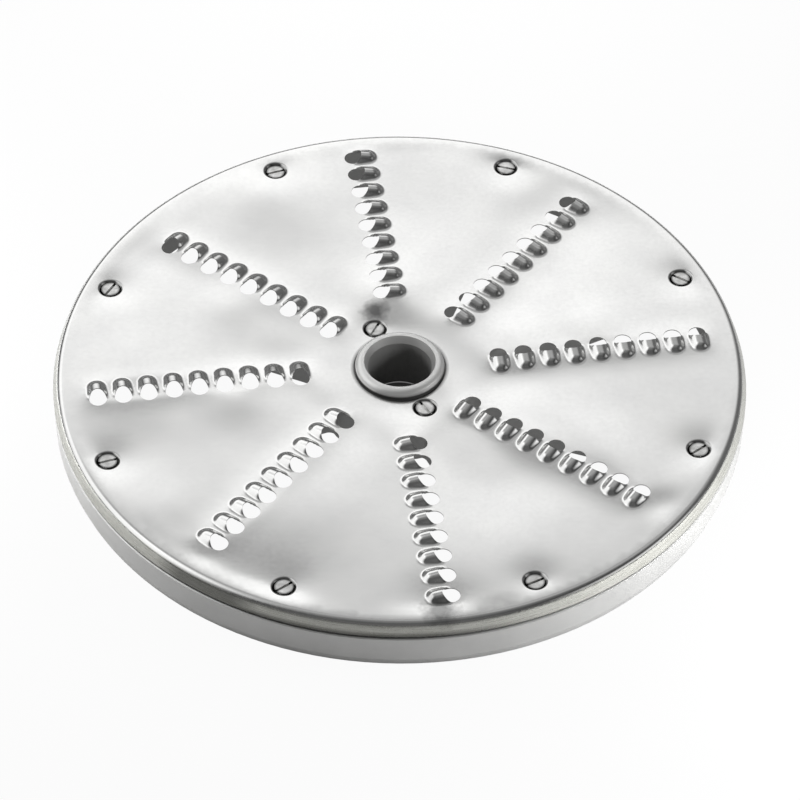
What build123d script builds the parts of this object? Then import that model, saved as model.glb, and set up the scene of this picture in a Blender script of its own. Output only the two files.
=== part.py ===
from build123d import *
import os
from math import cos, radians, sin, tan

# Grating disc for a food processor: a pressed steel plate with rows of raised teeth,
# held by slotted screws on a cast body with a rim, ribs and a bored hub.
# Millimetres. It stands on its rim at z = 0, with the bore on +Z. The teeth face
# the way the disc turns, counter-clockwise seen from above.

# Disc and plate
disc_diameter = 205.0
rim_height = 17.0
sheet = 0.8
shoulder_radius = 2.2
skirt_depth = 4.3
skirt_flare = 18.0

# Hub
bore_diameter = 19.0
hub_wall = 3.7
hub_rise = 2.3
hub_lip_share = 0.5
lead_in_share = 0.3
lead_in_cone = 27.0
hub_gap = 0.5
hub_foot = 1.0
drive_slot_width = 6.2
drive_slot_depth = 6.0

# Rim and ribs of the body
rim_wall = 6.5
rim_draft = 1.5
rim_foot_height = 2.8
rim_foot_inset = 1.0
ledge_chamfer = 0.3
skirt_gap = 0.9
spigot_clearance = 0.3
spigot_chamfer = 1.2
rib_count = 8
rib_width = 5.0
rib_foot_at_hub = 1.5
rib_foot_at_rim = 5.0
window_corner = 2.5
boss_radius = 4.6

# Teeth
row_count = 8
row_angle = 9.0
rib_lead = 15.7
section_lead = 8.3
tooth_pitch = 7.5
row_stagger = (2, 1, 3, 0)
tooth_start_gap = 2.85
tooth_rim_gap = 1.5
tooth_hole = 5.2
hole_lead = 0.75
dome_land = 0.35
dome_wall = 0.45
dome_tilt = 10.0
dome_straight = 1.9
edge_height = 1.95
mouth_spare = 0.3
mouth_lean = 51.0

# Screws and their dished seats
screw_diameter = 3.0
screw_head = 5.5
screw_length = 8.0
slot_width = 0.8
slot_depth = 0.7
seat_diameter = 8.0
seat_cone = 45.0
seat_bend = 1.2
seat_land = 0.1
seat_clearance = 0.15
sheet_hole_clearance = 0.25
screw_fit = 0.05
screw_hole_spare = 1.5
rim_screw_inset = 9.6
hub_seat_land = 0.2
flange_margin = 5.1
rim_slot_turns = (329, 345, 20, 60, 18, 37, 28, 39)
hub_slot_turns = (65, 302)

# Levels
plate_top = rim_height
seat_level = plate_top - sheet
hub_top = plate_top + hub_rise
skirt_edge = plate_top - skirt_depth - sheet * sin(radians(skirt_flare))
ledge = skirt_edge - skirt_gap

# Radii
disc_radius = disc_diameter / 2
bore_radius = bore_diameter / 2
hub_radius = bore_radius + hub_wall
hub_lip_radius = hub_wall * hub_lip_share
lead_in = hub_wall * lead_in_share
lead_in_depth = lead_in / tan(radians(lead_in_cone))
plate_hole_radius = hub_radius + hub_gap
corner_radius = disc_radius - skirt_depth * tan(radians(skirt_flare))
flat_radius = corner_radius - shoulder_radius * tan(radians((90 - skirt_flare) / 2))
spigot_radius = flat_radius + (shoulder_radius - sheet) * cos(radians(skirt_flare)) - spigot_clearance
rim_inner_radius = disc_radius - rim_wall
rim_lower_radius = disc_radius - (ledge - rim_foot_height) * tan(radians(rim_draft))
rim_screw_radius = disc_radius - rim_screw_inset
hub_screw_radius = plate_hole_radius + hub_seat_land + seat_diameter / 2
flange_radius = hub_screw_radius + flange_margin

# Angles, with the turned sections drawn between a rib and the next row
rib_angle = row_angle + rib_lead
section_plane = Plane.XZ.rotated((0, 0, rib_angle + section_lead))
rib_step = 360 / rib_count
hub_screw_angle = rib_angle + 2 * rib_step

# Seats: a cone falls by seat_slope for each millimetre towards its axis
seat_slope = tan(radians(seat_cone))
seat_corner = seat_diameter / 2 - seat_land - seat_bend * tan(radians(seat_cone / 2))
sheet_hole_radius = screw_diameter / 2 + sheet_hole_clearance
shank_hole_radius = screw_diameter / 2 + screw_fit
dish_depth = (seat_corner - sheet_hole_radius) * seat_slope
recess_radius = seat_corner + sheet * tan(radians(seat_cone / 2)) + seat_clearance
recess_depth = dish_depth + sheet * cos(radians(seat_cone)) + seat_clearance
recess_floor_radius = recess_radius - (recess_depth - sheet) / seat_slope
head_sink = (seat_corner - screw_head / 2 - screw_fit) * seat_slope
head_cone = (screw_head - screw_diameter) / 2 * seat_slope
shank_hole_depth = head_sink + screw_length + screw_hole_spare
through_cut = 4 * sheet

# Places, shared by the plate, the body and the screws
rim_screw_places = list(PolarLocations(rim_screw_radius, rib_count, start_angle=rib_angle))
hub_screw_places = list(PolarLocations(hub_screw_radius, 2, start_angle=hub_screw_angle))
screw_places = rim_screw_places + hub_screw_places


def row_places(first_radius, first_angle):
    """Tooth places of a row and of the rows like it, as many as fit inside the rim."""
    last_radius = rim_inner_radius - tooth_rim_gap - tooth_hole / 2
    teeth = int((last_radius - first_radius) / tooth_pitch) + 1
    alike = row_count // len(row_stagger)
    places = []
    for tooth in range(teeth):
        radius = first_radius + tooth * tooth_pitch
        places += list(PolarLocations(radius, alike, start_angle=first_angle))
    return places


# Each row of half a turn starts further out by its own number of quarter pitches
row_step = 360 / row_count
tooth_places = []
for row, quarters in enumerate(row_stagger):
    row_start = flange_radius + tooth_start_gap + quarters * tooth_pitch / len(row_stagger)
    tooth_places += row_places(row_start, row_angle + row * row_step)

# A tooth's own frame: +X away from the hub, +Y the way it cuts, z = 0 on the plate
dome_radius = tooth_hole / 2 + dome_land
edge_setback = tooth_hole / 2 - hole_lead
tooth_cut = 2 * (edge_height + sheet)
dome_slope = (0, cos(radians(dome_tilt)), sin(radians(dome_tilt)))
dome_crest = edge_height - dome_radius / cos(radians(dome_tilt))
dome_mouth = Plane((0, -edge_setback, dome_crest), x_dir=(1, 0, 0), z_dir=dome_slope)
mouth_normal = (0, cos(radians(mouth_lean)), sin(radians(mouth_lean)))
mouth_origin = (0, -edge_setback, edge_height + mouth_spare)
mouth_plane = Plane(mouth_origin, x_dir=(1, 0, 0), z_dir=mouth_normal)


def bullet(radius, reach):
    """A round bar along the dome's axis with a ball end at its back."""
    ball = dome_mouth.offset(-dome_straight)
    with BuildPart() as form:
        with BuildSketch(ball):
            Circle(radius)
        extrude(amount=dome_straight + reach)
        with Locations(ball.origin):
            Sphere(radius)
    return form.part


# Raised outside of a tooth, down to the middle of the sheet, falling away along both sides of its hole
with BuildPart() as tooth_dome:
    add(bullet(dome_radius, tooth_hole))
    split(bisect_by=mouth_plane, keep=Keep.BOTTOM)
    split(bisect_by=Plane.XY.offset(-sheet / 2), keep=Keep.TOP)

# Space inside a tooth, and the round hole that its lip stands over
with BuildPart() as tooth_void:
    add(bullet(dome_radius - dome_wall, edge_setback + hole_lead))
    with Locations((0, hole_lead, 0)):
        Cylinder(tooth_hole / 2, tooth_cut)

# Dished ring of sheet that a screw's head sits in, z = 0 on the plate
with BuildPart() as screw_dish:
    with BuildSketch(Plane.XZ):
        with BuildLine():
            FilletPolyline(
                (seat_diameter / 2, 0),
                (seat_corner, 0),
                (sheet_hole_radius, -dish_depth),
                radius=seat_bend,
            )
            offset(amount=sheet, side=Side.LEFT)
        make_face()
    revolve(axis=Axis.Z)

with BuildPart() as grating_plate:
    with BuildSketch(section_plane):
        with BuildLine():
            FilletPolyline(
                (plate_hole_radius, plate_top),
                (corner_radius, plate_top),
                (disc_radius, plate_top - skirt_depth),
                radius=shoulder_radius,
            )
            offset(amount=sheet, side=Side.RIGHT)
        make_face()
    revolve(axis=Axis.Z)
    with Locations((0, 0, plate_top)):
        with Locations(*screw_places):
            Cylinder(seat_diameter / 2, through_cut, mode=Mode.SUBTRACT)
            add(screw_dish.part)
        with Locations(*tooth_places):
            add(tooth_dome.part)
            add(tooth_void.part, mode=Mode.SUBTRACT)

# Recess under a screw's dish and the blind hole for its shank, z = 0 on the plate
with BuildPart() as screw_recess:
    with BuildSketch(Plane.XZ):
        with BuildLine():
            Polyline(
                (0, -sheet),
                (recess_radius, -sheet),
                (recess_floor_radius, -recess_depth),
                (shank_hole_radius, -recess_depth),
                (shank_hole_radius, -shank_hole_depth),
                (0, -shank_hole_depth),
                close=True,
            )
        make_face()
    revolve(axis=Axis.Z)

with BuildPart() as cast_body:
    with BuildSketch(section_plane) as body_section:
        with BuildLine():
            Polyline(
                (bore_radius, hub_foot),
                (flange_radius, hub_foot),
                (flange_radius, rib_foot_at_hub),
                (rim_inner_radius, rib_foot_at_rim),
                (rim_inner_radius, 0),
                (rim_lower_radius - rim_foot_inset, 0),
                (rim_lower_radius, rim_foot_height),
                (disc_radius, ledge - ledge_chamfer),
                (disc_radius - ledge_chamfer, ledge),
                (spigot_radius, ledge),
                (spigot_radius, seat_level - spigot_chamfer),
                (spigot_radius - spigot_chamfer, seat_level),
                (hub_radius, seat_level),
                (hub_radius, hub_top),
                (bore_radius + lead_in, hub_top),
                (bore_radius, hub_top - lead_in_depth),
                close=True,
            )
        make_face()
        fillet(body_section.vertices().group_by(Axis.Y)[-1].sort_by(Axis.X)[-1], hub_lip_radius)
    revolve(axis=Axis.Z)
    # Windows between the ribs, with a boss left for each rim screw
    with BuildSketch() as windows:
        Circle(rim_inner_radius)
        Circle(flange_radius, mode=Mode.SUBTRACT)
        with PolarLocations(0, rib_count, start_angle=rib_angle):
            Rectangle(disc_radius, rib_width, align=(Align.MIN, Align.CENTER), mode=Mode.SUBTRACT)
        with Locations(*rim_screw_places):
            Circle(boss_radius, mode=Mode.SUBTRACT)
        fillet(windows.vertices(), window_corner)
    extrude(amount=plate_top, mode=Mode.SUBTRACT)
    with Locations((0, 0, plate_top)):
        with Locations(*screw_places):
            add(screw_recess.part, mode=Mode.SUBTRACT)
    # Cross slot under the hub for the driving pin
    with BuildSketch():
        Rectangle(2 * flange_radius, drive_slot_width)
    extrude(amount=hub_foot + drive_slot_depth, mode=Mode.SUBTRACT)

# Slotted countersunk screw, z = 0 on the plate
with BuildPart() as screw:
    with BuildSketch(Plane.XZ):
        with BuildLine():
            Polyline(
                (0, -head_sink),
                (screw_head / 2, -head_sink),
                (screw_diameter / 2, -head_sink - head_cone),
                (screw_diameter / 2, -head_sink - screw_length),
                (0, -head_sink - screw_length),
                close=True,
            )
        make_face()
    revolve(axis=Axis.Z)
    with Locations((0, 0, -head_sink)):
        Box(seat_diameter, slot_width, 2 * slot_depth, mode=Mode.SUBTRACT)

with BuildPart() as plate_screws:
    with Locations((0, 0, plate_top)):
        for place, turn in zip(screw_places, rim_slot_turns + hub_slot_turns):
            with Locations(Location(place.position, (0, 0, turn))):
                add(screw.part)

os.makedirs("parts", exist_ok=True)
grating_plate.part.label = "grating_plate"
export_step(grating_plate.part, "parts/grating_plate.step")
cast_body.part.label = "cast_body"
export_step(cast_body.part, "parts/cast_body.step")
plate_screws.part.label = "plate_screws"
export_step(plate_screws.part, "parts/plate_screws.step")
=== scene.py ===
"""Looks of the grating disc: a polished, slightly wavy plate with drawn teeth on a satin cast body."""

import math

import bmesh
import bpy
import numpy as np
from mathutils import Matrix, Vector
from mathutils.geometry import delaunay_2d_cdt


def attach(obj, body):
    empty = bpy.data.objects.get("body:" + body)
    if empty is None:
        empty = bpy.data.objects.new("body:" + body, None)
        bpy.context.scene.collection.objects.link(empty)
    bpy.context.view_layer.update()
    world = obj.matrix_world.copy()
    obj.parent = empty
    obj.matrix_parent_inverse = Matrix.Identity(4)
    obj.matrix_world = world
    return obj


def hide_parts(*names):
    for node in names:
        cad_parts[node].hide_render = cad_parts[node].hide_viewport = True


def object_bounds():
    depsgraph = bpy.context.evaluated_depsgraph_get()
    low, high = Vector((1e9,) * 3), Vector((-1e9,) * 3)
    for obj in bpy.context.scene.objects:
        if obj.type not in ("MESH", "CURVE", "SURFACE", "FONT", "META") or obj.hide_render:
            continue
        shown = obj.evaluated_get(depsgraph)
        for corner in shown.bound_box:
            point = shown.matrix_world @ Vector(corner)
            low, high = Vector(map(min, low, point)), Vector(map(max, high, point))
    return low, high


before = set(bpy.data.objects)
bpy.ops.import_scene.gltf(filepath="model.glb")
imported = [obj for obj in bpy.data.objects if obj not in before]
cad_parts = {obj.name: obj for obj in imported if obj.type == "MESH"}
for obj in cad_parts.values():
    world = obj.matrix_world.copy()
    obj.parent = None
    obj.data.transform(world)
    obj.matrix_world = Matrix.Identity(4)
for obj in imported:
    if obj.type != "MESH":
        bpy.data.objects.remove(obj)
cad_low, cad_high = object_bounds()

# Sizes in millimetres, turned into metres when a mesh is made
MM = 0.001

# Plate
PLATE_TOP = 17.0
PLATE_SHARP = 32
SHEET = 0.8
PLATE_HOLE = 13.7
FLAT_RADIUS = 99.505
SHOULDER = 2.2
SKIRT_EDGE = 12.7
SKIRT_FLARE = math.radians(18)
OUTER_RADIUS = min(cad_high.x, cad_high.y, -cad_low.x, -cad_low.y) / MM - 0.01
ROUND_STEPS = 320

# Teeth, each in its own frame: w away from the hub, t the way it cuts
ROW_ANGLE = 9.0
ROW_COUNT = 8
ROW_STARTS = (29.6, 27.725, 31.475, 25.85)
ROW_TEETH = 9
TOOTH_PITCH = 7.5
DOME_RADIUS = 2.85
DOME_INNER = 2.55
DOME_TILT = math.radians(10)
DOME_STRAIGHT = 1.9
EDGE_HEIGHT = 1.95
HOLE_RADIUS = 2.6
HOLE_T = 0.75
EDGE_T = HOLE_T - HOLE_RADIUS
FADE_START = -1.6
FADE_END = 1.0
TOP_BLEND = 0.75
BEVEL_WIDTH = 0.8
BEVEL_DEPTH = 0.5
UNDER_BLEND = 0.5
HOLE_STEPS = 48
PATCH_HALF_WIDTH = 3.62
PATCH_BACK = -8.3
PATCH_FRONT = 4.1
PATCH_CORNER = 1.0

# Plan mesh: spacing of its points, steps round its holes and clear strips beside them
TOP_SPACING = 0.36
UNDER_SPACING = 0.6
PLATE_SPACING = 2.2
HUB_STEPS = 120
SEAT_STEPS = 40
SHOULDER_CLEARANCE = 1.2
HOLE_CLEARANCE = 0.6
PATCH_CLEARANCE = 0.5

# Screw seats
SCREW_ANGLE = 24.7
RIM_SCREW_RADIUS = 92.9
HUB_SCREW_RADIUS = 17.9
HUB_SCREW_ANGLES = (114.7, 294.7)
SEAT_RADIUS = 4.0
SEAT_BEND_START = 3.9
SEAT_BEND = 0.7
SEAT_HOLE = 1.75

# Photograph's camera
ELEVATION = math.radians(45.393)
ROLL = math.radians(0.483)
DISTANCE = 1.3776
LENS = 209.8
SHIFT_X = 0.0002
SHIFT_Y = -0.0419


def polar(radius, degrees):
    """A point of the plan, from its radius and its angle."""
    angle = math.radians(degrees)
    return np.array([radius * math.cos(angle), radius * math.sin(angle)])


def tooth_places():
    """Plan point and angle of every tooth."""
    places = []
    for row in range(ROW_COUNT):
        degrees = ROW_ANGLE + row * 360 / ROW_COUNT
        start = ROW_STARTS[row % len(ROW_STARTS)]
        for tooth in range(ROW_TEETH):
            places.append((start + tooth * TOOTH_PITCH, degrees))
    return places


def screw_places():
    """Plan points of the ten screws."""
    rim = [polar(RIM_SCREW_RADIUS, SCREW_ANGLE + 45 * k) for k in range(8)]
    hub = [polar(HUB_SCREW_RADIUS, degrees) for degrees in HUB_SCREW_ANGLES]
    return rim + hub


TEETH = tooth_places()
SCREWS = screw_places()


def smooth_step(low, high, value):
    """0 below low, 1 above high, and an even ease between."""
    share = np.clip((value - low) / (high - low), 0, 1)
    return share * share * (3 - 2 * share)


def bump_at(points, centre, width, height):
    """A round soft bump on the plan."""
    gap = points - np.asarray(centre)
    return height * np.exp(-(gap ** 2).sum(axis=1) / (2 * width ** 2))


# How the sheet was pulled out of flat by its pressing: the ridge along a row and the trough beside it,
# the pull of the screws and of the hub, and the soft limits that keep the teeth below the hub's lip,
# higher away from the rows, and the sheet above the casting
RIDGE = 0.16
RIDGE_WIDTH = 4.0
TROUGH = 0.14
TROUGH_WIDTH = 10.0
RIDGE_SHIFT = 1.5
ROW_EASE_IN = 8
ROW_EASE_OUT = 7
SCREW_DENT = 0.38
SCREW_DENT_WIDTH = 5.0
HUB_DENT = 0.36
HUB_DENT_WIDTH = 5.0
EDGE_FADE = (94.0, 99.0)
LOWEST = -0.58
HIGHEST = 0.32
FREE_RISE = 0.6
LIMIT_WIDTH = 8.0
LIMIT_SOFTNESS = 0.06

# Uneven swells and hollows of the sheet between the rows: place, width and height
SWELLS = (
    ((22, -38), 14, -0.51),
    ((-33, -58), 14, 0.47),
    ((42, 52), 19, -0.24),
    ((-78, -8), 14, 0.44),
    ((42, -28), 10, 0.42),
    ((-3, 32), 7, 0.53),
    ((-48, -13), 7, 0.46),
    ((-43, 77), 10, 0.35),
    ((-78, -33), 10, -0.28),
    ((17, -28), 7, -0.36),
    ((27, -83), 14, 0.26),
    ((62, -38), 7, 0.42),
    ((57, 17), 7, 0.44),
    ((-38, -88), 10, -0.21),
    ((-28, 42), 14, -0.51),
    ((-48, 27), 7, 0.41),
    ((32, -3), 7, -0.44),
    ((37, 12), 7, 0.31),
    ((2, 67), 14, -0.34),
    ((-13, -23), 7, -0.30),
    ((-33, 2), 7, -0.38),
    ((47, 62), 10, -0.42),
    ((72, -48), 7, 0.23),
    ((-23, 22), 10, -0.31),
    ((77, 12), 10, 0.21),
    ((-78, 47), 7, -0.20),
    ((57, -28), 7, 0.23),
    ((37, -43), 10, -0.26),
    ((-48, -73), 7, 0.23),
    ((-68, -58), 7, 0.16),
    ((37, 42), 7, -0.36),
    ((32, 27), 7, -0.31),
    ((-45, -81), 9, -0.32),
    ((10, -92), 7, -0.23),
    ((-55, -76), 4, -0.30),
    ((15, -93), 5, -0.30),
    ((75, -54), 4, -0.30),
)


def plate_wave(points):
    """How far the drawn sheet stands above or below its flat level."""
    radius = np.hypot(points[:, 0], points[:, 1])
    wave = np.zeros(len(points))
    held = np.zeros(len(points))
    for place, width, height in SWELLS:
        wave += bump_at(points, place, width, height)
    for row in range(ROW_COUNT):
        angle = math.radians(ROW_ANGLE + row * 360 / ROW_COUNT)
        start = ROW_STARTS[row % len(ROW_STARTS)]
        along = points[:, 0] * math.cos(angle) + points[:, 1] * math.sin(angle)
        across = points[:, 1] * math.cos(angle) - points[:, 0] * math.sin(angle) + RIDGE_SHIFT
        end = start + (ROW_TEETH - 1) * TOOTH_PITCH
        share = smooth_step(start - ROW_EASE_IN, start, along)
        share = share * (1 - smooth_step(end, end + ROW_EASE_OUT, along))
        held = np.maximum(held, share * np.exp(-(across ** 2) / (2 * LIMIT_WIDTH ** 2)))
        ridge = (RIDGE + TROUGH) * np.exp(-(across ** 2) / (2 * RIDGE_WIDTH ** 2))
        wave += share * (ridge - TROUGH * np.exp(-(across ** 2) / (2 * TROUGH_WIDTH ** 2)))
    for place in SCREWS:
        wave += bump_at(points, place, SCREW_DENT_WIDTH, -SCREW_DENT)
    wave -= HUB_DENT * np.exp(-((radius - PLATE_HOLE) ** 2) / (2 * HUB_DENT_WIDTH ** 2))
    limit = HIGHEST + FREE_RISE * (1 - held)
    wave = limit - LIMIT_SOFTNESS * np.logaddexp(0, (limit - wave) / LIMIT_SOFTNESS)
    wave = LOWEST + LIMIT_SOFTNESS * np.logaddexp(0, (wave - LOWEST) / LIMIT_SOFTNESS)
    return wave * (1 - smooth_step(*EDGE_FADE, radius))


# Tooth surfaces

BALL_T = EDGE_T - DOME_STRAIGHT * math.cos(DOME_TILT)
AXIS_AT_EDGE = EDGE_HEIGHT - DOME_RADIUS / math.cos(DOME_TILT)
BALL_Z = AXIS_AT_EDGE - DOME_STRAIGHT * math.sin(DOME_TILT)


def bar_distance(w, t, z):
    """Distance from the middle line of a tooth's round-ended bar."""
    back, up = t - BALL_T, z - BALL_Z
    along = np.clip(back * math.cos(DOME_TILT) + up * math.sin(DOME_TILT), 0, None)
    return np.sqrt(w ** 2 + (back - along * math.cos(DOME_TILT)) ** 2 + (up - along * math.sin(DOME_TILT)) ** 2)


def drawn_height(w, t, radius, level, blend):
    """Height of sheet drawn from a level over the bar, with a soft foot, found by halving."""
    low = np.full(len(w), level)
    high = np.full(len(w), level + 6.0)
    for _ in range(30):
        z = (low + high) / 2
        a, b = z - level, bar_distance(w, t, z) - radius
        share = np.clip(0.5 + 0.5 * (b - a) / blend, 0, 1)
        inside = b + (a - b) * share - blend * share * (1 - share) < 0
        low = np.where(inside, z, low)
        high = np.where(inside, high, z)
    return (low + high) / 2


def lip_share(t):
    """How much of the dome is left beside the hole, from all at its back to none at its front."""
    return 1 - smooth_step(FADE_START, FADE_END, t)


def top_height(w, t):
    """Upper side of a tooth: the dome, which falls to the plate along both sides of the hole."""
    return drawn_height(w, t, DOME_RADIUS, 0.0, TOP_BLEND) * lip_share(t)


def under_height(w, t):
    """Under side of a tooth, which follows its upper side and thins the sheet at the hole's front edge."""
    hollow = drawn_height(w, t, DOME_INNER, -SHEET, UNDER_BLEND)
    near = np.clip(1 - (np.hypot(w, t - HOLE_T) - HOLE_RADIUS) / BEVEL_WIDTH, 0, 1)
    return (hollow + SHEET) * lip_share(t) - SHEET + BEVEL_DEPTH * near * (1 - lip_share(t))


# Plan meshes

def inside_loop(points, loop):
    """True for each plan point inside a closed loop."""
    x, y = points[:, 0], points[:, 1]
    inside = np.zeros(len(points), bool)
    for (x0, y0), (x1, y1) in zip(loop, np.roll(loop, -1, axis=0)):
        crosses = (y0 > y) != (y1 > y)
        with np.errstate(divide="ignore", invalid="ignore"):
            at = x0 + (y - y0) * (x1 - x0) / (y1 - y0)
        inside ^= crosses & (x < at)
    return inside


def closest_gap(points, others):
    """Distance from each point to the closest of some others."""
    gap = np.full(len(points), np.inf)
    for other in others:
        gap = np.minimum(gap, np.hypot(points[:, 0] - other[0], points[:, 1] - other[1]))
    return gap


def hexagon_grid(low, high, spacing):
    """Evenly spread plan points over a rectangle."""
    rows = np.arange(low[1], high[1], spacing * math.sqrt(0.75))
    points = []
    for number, y in enumerate(rows):
        start = low[0] + (number % 2) * spacing / 2
        points += [(x, y) for x in np.arange(start, high[0], spacing)]
    return np.array(points)


def even_loop(corners, spacing):
    """Points along a closed chain of corners, at about the same spacing."""
    points = []
    for start, end in zip(corners, np.roll(corners, -1, axis=0)):
        steps = max(1, round(np.hypot(*(end - start)) / spacing))
        points += [start + (end - start) * k / steps for k in range(steps)]
    return np.array(points)


def patch_border(spacing=0.45):
    """The rounded rectangle round a tooth where its patch meets the plate."""
    corners = []
    middles = (
        (PATCH_HALF_WIDTH, PATCH_FRONT, 0),
        (-PATCH_HALF_WIDTH, PATCH_FRONT, 90),
        (-PATCH_HALF_WIDTH, PATCH_BACK, 180),
        (PATCH_HALF_WIDTH, PATCH_BACK, 270),
    )
    for w, t, first in middles:
        centre = np.array([w - math.copysign(PATCH_CORNER, w), t - math.copysign(PATCH_CORNER, t)])
        corners += [centre + polar(PATCH_CORNER, first + turn) for turn in (0, 30, 60, 90)]
    return even_loop(np.array(corners), spacing)


def inside_patch(w, t, margin):
    """True inside a tooth's patch, taken in by a margin."""
    return (np.abs(w) < PATCH_HALF_WIDTH - margin) & (t > PATCH_BACK + margin) & (t < PATCH_FRONT - margin)


def hole_loop():
    """Plan loop of a tooth's round hole."""
    return ring(HOLE_RADIUS, HOLE_STEPS, (0.0, HOLE_T))


def triangles(points, edges):
    """Triangles over plan points that keep the given edges, and the points in their new order."""
    coords = [Vector((float(x), float(y))) for x, y in points]
    out, _, faces, *_ = delaunay_2d_cdt(coords, edges, [], 1, 1e-5)
    return np.array([(p.x, p.y) for p in out]), np.array([f for f in faces if len(f) == 3])


def loop_edges(first, count):
    """Edges that close a run of points."""
    return [(first + k, first + (k + 1) % count) for k in range(count)]


def tooth_patch(spacing):
    """Plan mesh of one tooth's patch, without its hole."""
    border = patch_border()
    hole = hole_loop()
    edges = loop_edges(0, len(border)) + loop_edges(len(border), len(hole))
    fixed = np.vstack([border, hole])
    low = (-PATCH_HALF_WIDTH, PATCH_BACK)
    high = (PATCH_HALF_WIDTH, PATCH_FRONT)
    loose = hexagon_grid(low, high, spacing)
    loose = loose[inside_patch(loose[:, 0], loose[:, 1], 0.2)]
    loose = loose[~inside_loop(loose, hole)]
    loose = loose[closest_gap(loose, fixed) > 0.55 * spacing]
    points, faces = triangles(np.vstack([fixed, loose]), edges)
    middle = points[faces].mean(axis=1)
    return points, faces[inside_loop(middle, border) & ~inside_loop(middle, hole)]


def to_plan(local, place):
    """A tooth's own points, laid on the plate's plan."""
    radius, degrees = place
    angle = math.radians(degrees)
    out, along = np.array([math.cos(angle), math.sin(angle)]), np.array([-math.sin(angle), math.cos(angle)])
    return (radius + local[:, :1]) * out + local[:, 1:2] * along


def to_tooth(points, place):
    """Plan points in a tooth's own frame."""
    radius, degrees = place
    angle = math.radians(degrees)
    w = points[:, 0] * math.cos(angle) + points[:, 1] * math.sin(angle) - radius
    t = points[:, 1] * math.cos(angle) - points[:, 0] * math.sin(angle)
    return w, t


def ring(radius, count, centre=(0.0, 0.0)):
    """Evenly spread points on a circle."""
    angles = np.arange(count) * 2 * math.pi / count
    return np.column_stack([radius * np.cos(angles), radius * np.sin(angles)]) + np.asarray(centre)


def plate_plan():
    """Plan mesh of the sheet between the teeth, the screw seats, the hub and the shoulder."""
    loops = [ring(FLAT_RADIUS, ROUND_STEPS), ring(PLATE_HOLE, HUB_STEPS)]
    loops += [ring(SEAT_RADIUS, SEAT_STEPS, place) for place in SCREWS]
    border = patch_border()
    loops += [to_plan(border, place) for place in TEETH]
    edges, first = [], 0
    for loop in loops:
        edges += loop_edges(first, len(loop))
        first += len(loop)
    reach = (FLAT_RADIUS, FLAT_RADIUS)
    loose = hexagon_grid((-FLAT_RADIUS, -FLAT_RADIUS), reach, PLATE_SPACING)
    radius = np.hypot(loose[:, 0], loose[:, 1])
    keep = (radius < FLAT_RADIUS - SHOULDER_CLEARANCE) & (radius > PLATE_HOLE + HOLE_CLEARANCE)
    keep &= closest_gap(loose, SCREWS) > SEAT_RADIUS + HOLE_CLEARANCE
    for place in TEETH:
        keep &= ~inside_patch(*to_tooth(loose, place), -PATCH_CLEARANCE)
    points, faces = triangles(np.vstack(loops + [loose[keep]]), edges)
    middle = points[faces].mean(axis=1)
    radius = np.hypot(middle[:, 0], middle[:, 1])
    keep = (radius > PLATE_HOLE) & (closest_gap(middle, SCREWS) > SEAT_RADIUS)
    for place in TEETH:
        w, t = to_tooth(middle, place)
        near = inside_patch(w, t, 0)
        near[near] = inside_loop(np.column_stack([w[near], t[near]]), border)
        keep &= ~near
    return points, faces[keep]


class Shell:
    """Collects points and faces of one mesh, in millimetres."""

    def __init__(self):
        self.points = []
        self.faces = []
        self.count = 0

    def add(self, points, faces, flip=False):
        faces = np.asarray(faces) + self.count
        self.points.append(np.asarray(points, float))
        self.faces += [tuple(f[::-1] if flip else f) for f in faces.tolist()]
        self.count += len(points)

    def strip(self, first, second, closed=True):
        """Quads between two chains with as many points."""
        n = len(first)
        last = n if closed else n - 1
        quads = [(k, (k + 1) % n, n + (k + 1) % n, n + k) for k in range(last)]
        self.add(np.vstack([first, second]), quads)

    def mesh(self, name, sharp_degrees):
        """The finished mesh, welded and smooth except at sharp edges."""
        data = bpy.data.meshes.new(name)
        data.from_pydata((np.vstack(self.points) * MM).tolist(), [], self.faces)
        work = bmesh.new()
        work.from_mesh(data)
        bmesh.ops.remove_doubles(work, verts=work.verts, dist=2e-6)
        work.to_mesh(data)
        work.free()
        data.polygons.foreach_set("use_smooth", [True] * len(data.polygons))
        data.set_sharp_from_angle(angle=math.radians(sharp_degrees))
        return data


def raised(points, height):
    """Plan points with their height on the wavy plate."""
    return np.column_stack([points, PLATE_TOP + plate_wave(points) + height])


def add_teeth(shell):
    """Upper and under sides of every tooth, and the walls of their holes."""
    top_points, top_faces = tooth_patch(TOP_SPACING)
    under_points, under_faces = tooth_patch(UNDER_SPACING)
    top_z = top_height(*top_points.T)
    under_z = under_height(*under_points.T)
    hole = hole_loop()
    wall_top, wall_under = top_height(*hole.T), under_height(*hole.T)
    for place in TEETH:
        shell.add(raised(to_plan(top_points, place), top_z), top_faces)
        shell.add(raised(to_plan(under_points, place), under_z), under_faces, flip=True)
        plan = to_plan(hole, place)
        shell.strip(raised(plan, wall_top), raised(plan, wall_under))


def seat_profile(level):
    """Radius and height along a screw seat's dish, from its rim to its hole, at one side of the sheet."""
    bend = SEAT_BEND + level
    turn = np.linspace(0, math.pi / 4, 7)
    radii = SEAT_BEND_START - bend * np.sin(turn)
    heights = -SEAT_BEND + bend * np.cos(turn)
    drop = radii[-1] - SEAT_HOLE
    radii = np.r_[SEAT_RADIUS, radii, radii[-1] - drop / 2, SEAT_HOLE]
    heights = np.r_[heights[0], heights, heights[-1] - drop / 2, heights[-1] - drop]
    return radii, heights


def add_seats(shell):
    """Dished screw seats, both sides of the sheet."""
    for place in SCREWS:
        for level, upper in ((0.0, True), (-SHEET, False)):
            radii, heights = seat_profile(level)
            rings = [raised(ring(r, SEAT_STEPS, place), h) for r, h in zip(radii, heights)]
            for outer, inner in zip(rings, rings[1:]):
                shell.strip(*((outer, inner) if upper else (inner, outer)))


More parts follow.
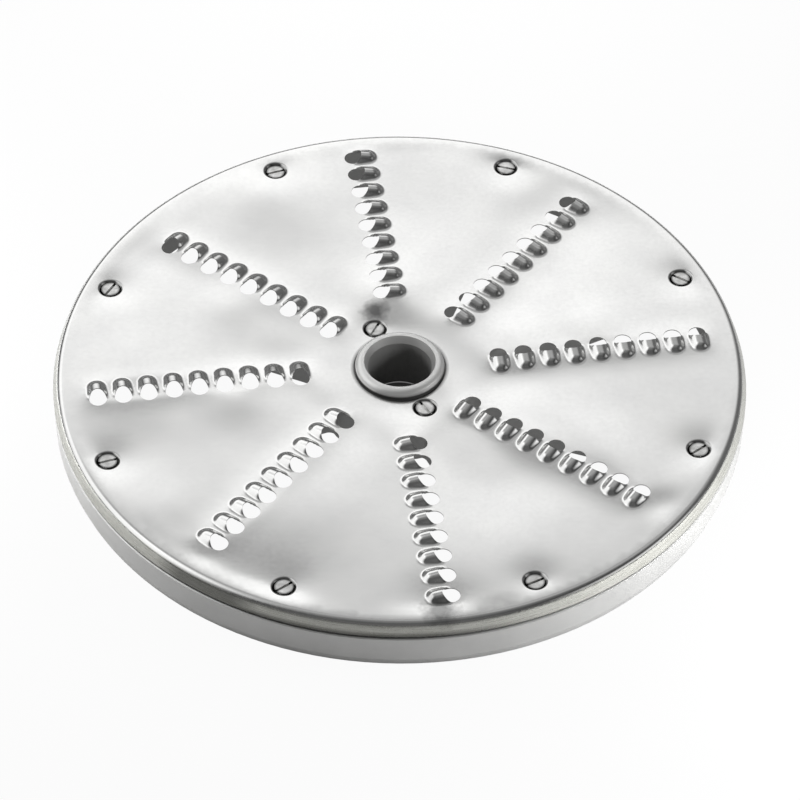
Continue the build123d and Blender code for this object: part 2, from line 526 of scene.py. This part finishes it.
def add_shoulder(shell):
    """The turned-down edge of the plate, with its flared skirt."""
    turn = np.linspace(0, math.pi / 2 - SKIRT_FLARE, 10)
    centre = PLATE_TOP - SHOULDER
    outside = [(FLAT_RADIUS + SHOULDER * math.sin(a), centre + SHOULDER * math.cos(a)) for a in turn]
    inner = SHOULDER - SHEET
    inside = [(FLAT_RADIUS + inner * math.sin(a), centre + inner * math.cos(a)) for a in turn]
    lip = (OUTER_RADIUS, SKIRT_EDGE)
    foot = (OUTER_RADIUS - SHEET * math.cos(SKIRT_FLARE), SKIRT_EDGE - SHEET * math.sin(SKIRT_FLARE))
    skirt = [tuple(np.array(outside[-1]) + (np.array(lip) - outside[-1]) * k / 4) for k in (1, 2, 3, 4)]
    chain = outside + skirt + [foot] + inside[::-1]
    rings = [np.column_stack([ring(r, ROUND_STEPS), np.full(ROUND_STEPS, z)]) for r, z in chain]
    for upper, lower in zip(rings, rings[1:]):
        shell.strip(lower, upper)


def make_plate(material):
    """The whole pressed plate as one sheet."""
    shell = Shell()
    points, faces = plate_plan()
    shell.add(raised(points, 0.0), faces)
    shell.add(raised(points, -SHEET), faces, flip=True)
    hole = ring(PLATE_HOLE, HUB_STEPS)
    shell.strip(raised(hole, 0.0), raised(hole, -SHEET))
    add_teeth(shell)
    add_seats(shell)
    add_shoulder(shell)
    plate = bpy.data.objects.new("pressed_plate", shell.mesh("pressed_plate", PLATE_SHARP))
    bpy.context.scene.collection.objects.link(plate)
    plate.data.materials.append(material)
    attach(plate, "root")
    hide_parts("grating_plate")
    return plate


# Materials

def new_material(name):
    """An empty node material with its shader and its node tree."""
    material = bpy.data.materials.new(name)
    material.use_nodes = True
    tree = material.node_tree
    shader = tree.nodes["Principled BSDF"]
    return material, tree, shader


def node(tree, kind, **values):
    """A node with some of its settings and inputs filled in."""
    made = tree.nodes.new(kind)
    for key, value in values.items():
        if key in made.inputs:
            made.inputs[key].default_value = value
        else:
            setattr(made, key, value)
    return made


def noise(tree, vector, scale, detail, roughness=0.5):
    """A noise texture over some coordinates."""
    made = node(tree, "ShaderNodeTexNoise", Scale=scale, Detail=detail, Roughness=roughness)
    tree.links.new(vector, made.inputs["Vector"])
    return made.outputs["Fac"]


def stretched(tree, vector, scale):
    """Coordinates drawn out by a scale along each axis."""
    made = node(tree, "ShaderNodeMapping", Scale=scale)
    tree.links.new(vector, made.inputs["Vector"])
    return made.outputs["Vector"]


def spread(tree, value, low, high, start=0.3, end=0.7):
    """A value turned into a range."""
    made = tree.nodes.new("ShaderNodeMapRange")
    made.inputs["From Min"].default_value = start
    made.inputs["From Max"].default_value = end
    made.inputs["To Min"].default_value = low
    made.inputs["To Max"].default_value = high
    tree.links.new(value, made.inputs["Value"])
    return made.outputs["Result"]


def tone(tree, value, dark, light, start=0.3, end=0.7):
    """A value turned into a colour between two."""
    made = node(tree, "ShaderNodeValToRGB")
    made.color_ramp.elements[0].position = start
    made.color_ramp.elements[0].color = (*dark, 1)
    made.color_ramp.elements[1].position = end
    made.color_ramp.elements[1].color = (*light, 1)
    tree.links.new(value, made.inputs["Fac"])
    return made.outputs["Color"]


def bump(tree, height, strength, distance, below=None):
    """A bump, on top of another if one is given."""
    made = node(tree, "ShaderNodeBump", Strength=strength, Distance=distance)
    tree.links.new(height, made.inputs["Height"])
    if below is not None:
        tree.links.new(below, made.inputs["Normal"])
    return made.outputs["Normal"]


def maths(tree, operation, first, second=None):
    """A maths node between two values, either of them linked or plain."""
    made = node(tree, "ShaderNodeMath", operation=operation)
    for socket, value in zip(made.inputs, (first, second)):
        if isinstance(value, (int, float)):
            socket.default_value = value
        elif value is not None:
            tree.links.new(value, socket)
    return made.outputs[0]


def around(tree, place):
    """Distance from the disc's axis, angle round it and height of a point."""
    parts = node(tree, "ShaderNodeSeparateXYZ")
    tree.links.new(place, parts.inputs[0])
    across, along, height = parts.outputs
    squares = maths(tree, "ADD", maths(tree, "MULTIPLY", across, across), maths(tree, "MULTIPLY", along, along))
    return maths(tree, "SQRT", squares), maths(tree, "ARCTAN2", along, across), height


def ring_gap(tree, radius, angle, ring_radius, first, count):
    """Distance in plan from the nearest of some screws spread evenly round a ring."""
    turned = maths(tree, "SUBTRACT", angle, math.radians(first))
    turned = maths(tree, "COSINE", maths(tree, "PINGPONG", turned, math.pi / count))
    product = maths(tree, "MULTIPLY", maths(tree, "MULTIPLY", radius, turned), 2 * ring_radius * MM)
    squares = maths(tree, "ADD", maths(tree, "MULTIPLY", radius, radius), (ring_radius * MM) ** 2)
    return maths(tree, "SQRT", maths(tree, "MAXIMUM", maths(tree, "SUBTRACT", squares, product), 0.0))


def screw_gap(tree, radius, angle):
    """Distance in plan from the axis of the nearest screw."""
    rim = ring_gap(tree, radius, angle, RIM_SCREW_RADIUS, SCREW_ANGLE, 8)
    hub = ring_gap(tree, radius, angle, HUB_SCREW_RADIUS, HUB_SCREW_ANGLES[0], 2)
    return maths(tree, "MINIMUM", rim, hub)


def shaded(tree, colour, share):
    """A colour made darker by a share."""
    made = node(tree, "ShaderNodeVectorMath", operation="SCALE")
    tree.links.new(colour, made.inputs[0])
    tree.links.new(share, made.inputs["Scale"])
    return made.outputs[0]


def turning_marks(tree, angle, height, density):
    """Fine uneven lines that run round the disc."""
    drawn = node(tree, "ShaderNodeCombineXYZ")
    tree.links.new(maths(tree, "MULTIPLY", angle, 9.0), drawn.inputs[0])
    tree.links.new(maths(tree, "MULTIPLY", height, density), drawn.inputs[1])
    return noise(tree, drawn.outputs[0], 1.0, 5, 0.65)


# Where the skirt's tone and wear and the painted shade begin and end, in metres: heights on the skirt, distances
# from a screw's axis and from the disc's axis, and heights on the hub
SKIRT_TOP = (0.0158, 0.0164)
LIP_TOP = (0.0131, 0.0142)
SEAT_SHADE_SPAN = (0.0029, 0.0040)
SCREW_EDGE = (0.0021, 0.0027)
HUB_SHADE_SPAN = (0.0138, 0.0147)
BORE_WALL = (0.0100, 0.0120)
BORE_DEPTH = (0.0130, 0.0192)
HUB_SIDE = (0.0125, 0.0129)
HUB_NEAR = (0.0150, 0.0160)
HUB_FOOT = (0.0171, 0.0177)
SPOT_UNEVEN = 0.004

# Painted shade on the sheet, standing in for dark reflections, by a hub screw and by the last tooth of the front
# row:
# place, where the spot is full and where it ends from there, in metres, and the share of the tone that it leaves
SHADE_SPOTS = (
    ((-0.0075, 0.0235, 0.017), 0.0035, 0.0070, 0.30),
    ((0.0120, -0.0962, 0.017), 0.0040, 0.0085, 0.40),
)

# Painted shade along the skirt's lip at the front, and a darker patch on the skirt: middle and reach round the
# disc in degrees, and strength
LIP_SHADE = (260, 34, 0.62)
SKIRT_DARK_PATCH = (237.5, 10, 0.60)


def shade_spot_share(tree, place, uneven, spot, full, end, left):
    """How much of the sheet's tone one uneven spot of painted shade leaves."""
    away = node(tree, "ShaderNodeVectorMath", operation="DISTANCE")
    tree.links.new(place, away.inputs[0])
    away.inputs[1].default_value = spot
    return spread(tree, maths(tree, "ADD", away.outputs["Value"], uneven), left, 1.0, full, end)


def skirt_darkening_share(tree, angle, middle, reach, strength):
    """How much darker the skirt is made round one angle."""
    near = maths(tree, "COSINE", maths(tree, "SUBTRACT", angle, math.radians(middle)))
    return spread(tree, near, 0.0, strength, math.cos(math.radians(reach)), math.cos(math.radians(reach / 2)))


def plate_steel():
    """Polished stainless sheet with faint clouding, painted shade in the screw seats, round the hub, in two spots
    and along the skirt's lip, a darker patch on the skirt, and marks on a skirt darkened by painted shade.
    """
    material, tree, shader = new_material("plate_steel")
    place = node(tree, "ShaderNodeTexCoord").outputs["Object"]
    radius, angle, height = around(tree, place)
    cloud = noise(tree, place, 60, 4)
    fine = noise(tree, place, 900, 3)
    scratch = noise(tree, stretched(tree, place, (900, 60, 60)), 3, 4, 0.6)
    marks = turning_marks(tree, angle, height, 3200.0)
    skirt = spread(tree, height, 1.0, 0.0, *SKIRT_TOP)
    shader.inputs["Metallic"].default_value = 1.0
    top = tone(tree, cloud, (0.74, 0.74, 0.735), (0.80, 0.80, 0.79))
    # The skirt's tone: real turning marks, on a colour darker than the top's, which is painted shade of the
    # turned-down side
    skirt_marks_and_shade = tone(tree, marks, (0.50, 0.50, 0.455), (0.70, 0.70, 0.66), 0.34, 0.62)
    colour = node(tree, "ShaderNodeMix", data_type="RGBA")
    tree.links.new(skirt, colour.inputs["Factor"])
    tree.links.new(top, colour.inputs["A"])
    tree.links.new(skirt_marks_and_shade, colour.inputs["B"])
    # Painted shade in the screw seats' dishes, darkest nearest each screw
    seat_painted_shade = spread(tree, screw_gap(tree, radius, angle), 0.22, 1.0, *SEAT_SHADE_SPAN)
    # Painted shadow of the hub's lip on the sheet round the hub's foot
    hub_painted_shadow = spread(tree, radius, 0.35, 1.0, *HUB_SHADE_SPAN)
    tone_left = maths(tree, "MINIMUM", seat_painted_shade, hub_painted_shadow)
    # Painted shade: two uneven dark spots on the sheet that stand in for dark reflections of its slopes
    uneven = maths(tree, "MULTIPLY", noise(tree, place, 420, 3), SPOT_UNEVEN)
    for painted_spot in SHADE_SPOTS:
        tone_left = maths(tree, "MINIMUM", tone_left, shade_spot_share(tree, place, uneven, *painted_spot))
    # Painted shade along the lower lip of the skirt at the front, and a darker patch over the skirt's height
    lip = spread(tree, height, 1.0, 0.0, *LIP_TOP)
    lip = maths(tree, "MULTIPLY", lip, skirt_darkening_share(tree, angle, *LIP_SHADE))
    patch = maths(tree, "MULTIPLY", skirt, skirt_darkening_share(tree, angle, *SKIRT_DARK_PATCH))
    skirt_darkness = maths(tree, "MAXIMUM", lip, patch)
    tone_left = maths(tree, "MINIMUM", tone_left, maths(tree, "SUBTRACT", 1.0, skirt_darkness))
    tree.links.new(shaded(tree, colour.outputs["Result"], tone_left), shader.inputs["Base Color"])
    polish = spread(tree, fine, 0.15, 0.21)
    worn = maths(tree, "MULTIPLY", skirt, spread(tree, marks, 0.05, 0.20))
    tree.links.new(maths(tree, "ADD", polish, worn), shader.inputs["Roughness"])
    low = bump(tree, fine, 0.02, 0.0002)
    tree.links.new(bump(tree, scratch, 0.015, 0.0002, low), shader.inputs["Normal"])
    return material


def cast_aluminium():
    """Satin light metal with a fine grain, with painted shade down in the bore and at the foot of the hub."""
    material, tree, shader = new_material("cast_aluminium")
    place = node(tree, "ShaderNodeTexCoord").outputs["Object"]
    radius, _, height = around(tree, place)
    grain = noise(tree, place, 2500, 3)
    cloud = noise(tree, place, 90, 3)
    # Painted shade down in the bore, darker the deeper it goes
    inside = spread(tree, radius, 1.0, 0.0, *BORE_WALL)
    depth = spread(tree, height, 0.55, 0.80, *BORE_DEPTH)
    bore_painted_shade = maths(tree, "ADD", maths(tree, "MULTIPLY", inside, maths(tree, "SUBTRACT", depth, 1.0)), 1.0)
    # Painted shade at the foot of the hub's outer side, where it meets the sheet
    outside = spread(tree, radius, 0.0, 1.0, *HUB_SIDE)
    near = maths(tree, "MULTIPLY", outside, spread(tree, radius, 1.0, 0.0, *HUB_NEAR))
    foot = maths(tree, "SUBTRACT", spread(tree, height, 0.2, 1.0, *HUB_FOOT), 1.0)
    foot = maths(tree, "ADD", maths(tree, "MULTIPLY", near, foot), 1.0)
    shader.inputs["Metallic"].default_value = 0.85
    colour = tone(tree, cloud, (0.70, 0.70, 0.69), (0.76, 0.76, 0.75))
    tree.links.new(shaded(tree, colour, maths(tree, "MULTIPLY", bore_painted_shade, foot)), shader.inputs["Base Color"])
    tree.links.new(spread(tree, grain, 0.38, 0.48), shader.inputs["Roughness"])
    tree.links.new(bump(tree, grain, 0.03, 0.0001), shader.inputs["Normal"])
    return material


def screw_steel():
    """Turned steel with worn tops and painted shade at the edges of the heads."""
    material, tree, shader = new_material("screw_steel")
    place = node(tree, "ShaderNodeTexCoord").outputs["Object"]
    radius, angle, _ = around(tree, place)
    grain = noise(tree, place, 1800, 3)
    wear = noise(tree, place, 420, 2)
    shader.inputs["Metallic"].default_value = 1.0
    colour = tone(tree, wear, (0.52, 0.52, 0.51), (0.80, 0.80, 0.79))
    # Painted shade at the edges of the heads, where they sink into their seats
    head_edge_shade = spread(tree, screw_gap(tree, radius, angle), 1.0, 0.25, *SCREW_EDGE)
    tree.links.new(shaded(tree, colour, head_edge_shade), shader.inputs["Base Color"])
    tree.links.new(spread(tree, grain, 0.25, 0.4), shader.inputs["Roughness"])
    uneven = bump(tree, wear, 0.25, 0.0003)
    tree.links.new(bump(tree, grain, 0.05, 0.0001, uneven), shader.inputs["Normal"])
    return material


def dress(name, material):
    """A CAD piece shown as it is, smooth except at sharp edges, in its material."""
    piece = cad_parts[name]
    piece.data.materials.clear()
    piece.data.materials.append(material)
    piece.data.polygons.foreach_set("use_smooth", [True] * len(piece.data.polygons))
    piece.data.set_sharp_from_angle(angle=math.radians(30))


# Stage

# Floor: how far it reaches, how high its edge curves up, and how white it is to the camera and to metal
FLOOR_REACH = 6.0
COVE_HEIGHT = 1.2
FLOOR_LEVEL = -0.00005
FLOOR_STEPS = 96
CAMERA_WHITE = 0.95
GLOSSY_WHITE = 0.15
PAPER = (0.25, 0.25, 0.25, 1)
BORE_SHADE = (0.010, 0.012)


def floor_material():
    """Paper that stays near white for the camera and in part for metal, but dark down inside the bore."""
    material = bpy.data.materials.new("floor")
    material.use_nodes = True
    tree = material.node_tree
    tree.nodes.clear()
    paper = node(tree, "ShaderNodeBsdfDiffuse", Color=PAPER)
    white = node(tree, "ShaderNodeEmission", Color=(1, 1, 1, 1), Strength=1.0)
    path = node(tree, "ShaderNodeLightPath")
    seen = maths(tree, "MAXIMUM", path.outputs["Is Glossy Ray"], path.outputs["Is Transmission Ray"])
    seen = maths(tree, "MULTIPLY", seen, GLOSSY_WHITE)
    seen = maths(tree, "MAXIMUM", seen, maths(tree, "MULTIPLY", path.outputs["Is Camera Ray"], CAMERA_WHITE))
    away = node(tree, "ShaderNodeVectorMath", operation="LENGTH")
    tree.links.new(node(tree, "ShaderNodeTexCoord").outputs["Object"], away.inputs[0])
    outside = spread(tree, away.outputs["Value"], 0.0, 1.0, *BORE_SHADE)
    seen = maths(tree, "MULTIPLY", seen, outside)
    mix = node(tree, "ShaderNodeMixShader")
    output = node(tree, "ShaderNodeOutputMaterial")
    tree.links.new(seen, mix.inputs["Fac"])
    tree.links.new(paper.outputs[0], mix.inputs[1])
    tree.links.new(white.outputs[0], mix.inputs[2])
    tree.links.new(mix.outputs[0], output.inputs["Surface"])
    return material


def make_floor():
    """A wide round floor whose far edge curves up into a low wall."""
    chain = [(0.5, 0.0), (FLOOR_REACH - COVE_HEIGHT, 0.0)]
    for turn in np.linspace(0, math.pi / 2, 9)[1:]:
        chain.append((FLOOR_REACH - COVE_HEIGHT * (1 - math.sin(turn)), COVE_HEIGHT * (1 - math.cos(turn))))
    rings = [np.column_stack([ring(r, FLOOR_STEPS), np.full(FLOOR_STEPS, z + FLOOR_LEVEL)]) for r, z in chain]
    points = np.vstack(rings).tolist()
    faces = [tuple(range(FLOOR_STEPS))]
    for level in range(len(rings) - 1):
        first, second = level * FLOOR_STEPS, (level + 1) * FLOOR_STEPS
        for k in range(FLOOR_STEPS):
            after = (k + 1) % FLOOR_STEPS
            faces.append((first + k, second + k, second + after, first + after))
    data = bpy.data.meshes.new("floor")
    data.from_pydata(points, [], faces)
    data.polygons.foreach_set("use_smooth", [True] * len(data.polygons))
    data.materials.append(floor_material())
    floor = bpy.data.objects.new("floor", data)
    bpy.context.scene.collection.objects.link(floor)


# Soft boxes of the studio: where each begins, is full, ends being full and ends, in degrees
# to the right of the back and then above the floor, and its strength
SOFT_BOXES = (
    ((-135, -100, -72, -45), (-8, 12, 52, 78), 1.15),
    ((-72, -45, 0, 42), (14, 30, 40, 55), 1.30),
    ((78, 92, 112, 140), (-10, 2, 14, 42), 1.2),
    ((10, 40, 60, 90), (-10, 10, 40, 70), 0.1),
    ((-110, -70, 45, 95), (40, 56, 68, 90), 0.30),
    ((125, 160, 200, 230), (-15, 5, 35, 60), 0.09),
    ((-230, -200, -160, -125), (-15, 5, 35, 60), 0.09),
)
ROOM = 0.05
CEILING = 0.18


def ease(tree, value, start, end):
    """0 at the start angle, 1 at the end angle, in degrees."""
    made = node(tree, "ShaderNodeMapRange", interpolation_type="SMOOTHSTEP")
    made.inputs["From Min"].default_value = math.radians(start)
    made.inputs["From Max"].default_value = math.radians(end)
    tree.links.new(value, made.inputs["Value"])
    return made.outputs["Result"]


def window(tree, value, begin, full, ending, end):
    """1 between two angles, with a soft edge on both sides."""
    past = ease(tree, value, ending, end)
    return maths(tree, "SUBTRACT", ease(tree, value, begin, full), past)


def make_light():
    """A dim room with large soft boxes at the left and behind, a low one at the right and faint ones in front."""
    world = bpy.data.worlds.new("studio")
    bpy.context.scene.world = world
    world.use_nodes = True
    tree = world.node_tree
    tree.nodes.clear()
    ray = node(tree, "ShaderNodeSeparateXYZ")
    tree.links.new(node(tree, "ShaderNodeTexCoord").outputs["Generated"], ray.inputs[0])
    turn = maths(tree, "ARCTAN2", ray.outputs["X"], ray.outputs["Y"])
    rise = maths(tree, "ARCSINE", ray.outputs["Z"])
    total = maths(tree, "ADD", maths(tree, "MULTIPLY", ease(tree, rise, 40, 85), CEILING), ROOM)
    for sides, heights, strength in SOFT_BOXES:
        across = window(tree, turn, *sides)
        upright = window(tree, rise, *heights)
        box = maths(tree, "MULTIPLY", maths(tree, "MULTIPLY", across, upright), strength)
        total = maths(tree, "ADD", total, box)
    studio = node(tree, "ShaderNodeBackground", Color=(1, 1, 1, 1))
    output = node(tree, "ShaderNodeOutputWorld")
    tree.links.new(total, studio.inputs["Strength"])
    tree.links.new(studio.outputs[0], output.inputs["Surface"])


# Lamps over the floor beside and behind the disc: place, width, and power in watts
FLOOR_LAMPS = (
    ((-0.24, 0.02, 0.10), 0.12, 1.7),
    ((0.20, -0.10, 0.11), 0.12, 1.7),
    ((0.0, 0.25, 0.14), 0.20, 1.2),
)


def make_floor_lamps():
    """Small soft lamps that brighten the floor at the sides and behind, and leave it dim in front."""
    for number, (place, width, power) in enumerate(FLOOR_LAMPS):
        data = bpy.data.lights.new(f"floor_lamp_{number}", "AREA")
        data.size = width
        data.energy = power
        lamp = bpy.data.objects.new(f"floor_lamp_{number}", data)
        lamp.location = place
        lamp.visible_glossy = False
        bpy.context.scene.collection.objects.link(lamp)


def make_camera():
    """The photograph's view: in front, half way up, from afar."""
    data = bpy.data.cameras.new("camera")
    data.lens = LENS
    data.sensor_width = 36
    data.shift_x = SHIFT_X
    data.shift_y = SHIFT_Y
    data.clip_end = 50
    camera = bpy.data.objects.new("camera", data)
    bpy.context.scene.collection.objects.link(camera)
    aim = Vector((0, 0, PLATE_TOP * MM))
    back = Vector((0, -math.cos(ELEVATION), math.sin(ELEVATION))) * DISTANCE
    tilt = Matrix.Rotation(math.pi / 2 - ELEVATION, 4, "X")
    camera.matrix_world = Matrix.Translation(aim + back) @ tilt @ Matrix.Rotation(ROLL, 4, "Z")
    bpy.context.scene.camera = camera


make_plate(plate_steel())
dress("cast_body", cast_aluminium())
dress("plate_screws", screw_steel())
make_floor()
make_light()
make_floor_lamps()
make_camera()
bpy.context.scene.view_settings.view_transform = "Standard"
